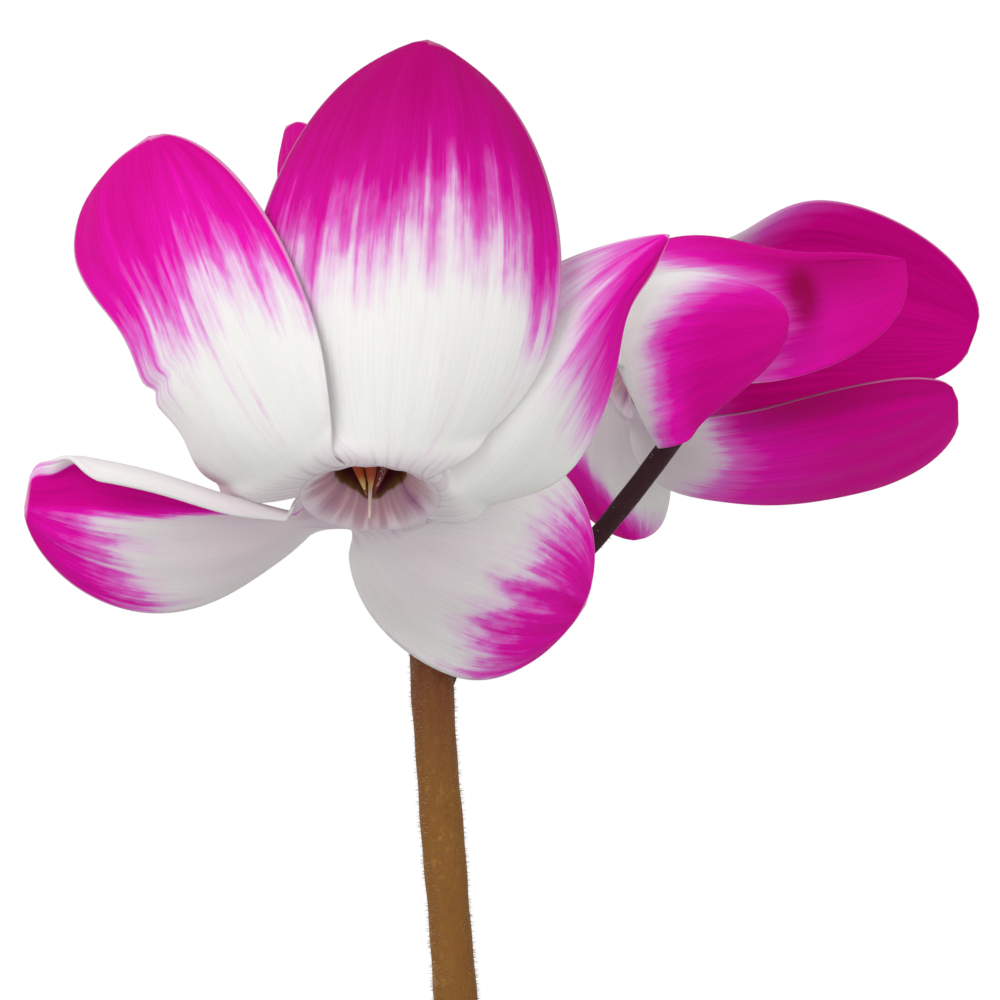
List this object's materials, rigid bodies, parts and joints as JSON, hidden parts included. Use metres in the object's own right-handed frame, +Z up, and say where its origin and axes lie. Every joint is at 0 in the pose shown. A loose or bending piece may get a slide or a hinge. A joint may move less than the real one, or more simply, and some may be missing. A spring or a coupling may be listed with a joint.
{
  "type": "potted cyclamen",
  "caption": "Potted cyclamen in bloom: reflexed magenta petals with white streaked margins on hooked stalks, over heart-shaped marbled leaves in a plain clay pot",
  "frame": {"origin": "centre of the pot's underside, on the surface it stands on", "axes": "+Z up along the pot's axis, -Y towards the side that the first bloom faces, +X to the right of it"},
  "size_m": [0.2108, 0.2124, 0.3316],
  "materials": {
    "clay": "unglazed fired clay, matt, with faint throwing rings",
    "soil": "crumbly dark potting soil",
    "tuber": "corky brown skin, rough",
    "petal": "satin petal, magenta with white streaked margins",
    "anther": "powdery yellow-brown anthers",
    "stalk": "olive-brown fleshy stalk with short fine hairs",
    "leaf": "waxy dark green leaf with a silver pattern"
  },
  "bodies": {
    "root": {"pot": "clay", "soil": "soil", "tuber": "tuber", "bloom_1_corolla": "petal", "bloom_1_stamens": "anther", "bloom_1_stalk": "stalk", "bloom_2_corolla": "petal", "bloom_2_stamens": "anther", "bloom_2_stalk": "stalk", "bloom_3_corolla": "petal", "bloom_3_stamens": "anther", "bloom_3_stalk": "stalk", "bud_1": "petal", "bud_1_stalk": "stalk", "bud_2": "petal", "bud_2_stalk": "stalk", "bud_3": "petal", "bud_3_stalk": "stalk", "leaf_01": "leaf", "leaf_02": "leaf", "leaf_03": "leaf", "leaf_04": "leaf", "leaf_05": "leaf", "leaf_06": "leaf", "leaf_07": "leaf", "leaf_08": "leaf", "leaf_09": "leaf", "leaf_10": "leaf", "leaf_11": "leaf", "leaf_12": "leaf", "leaf_13": "leaf", "leaf_14": "leaf"}
  },
  "joints": []
}
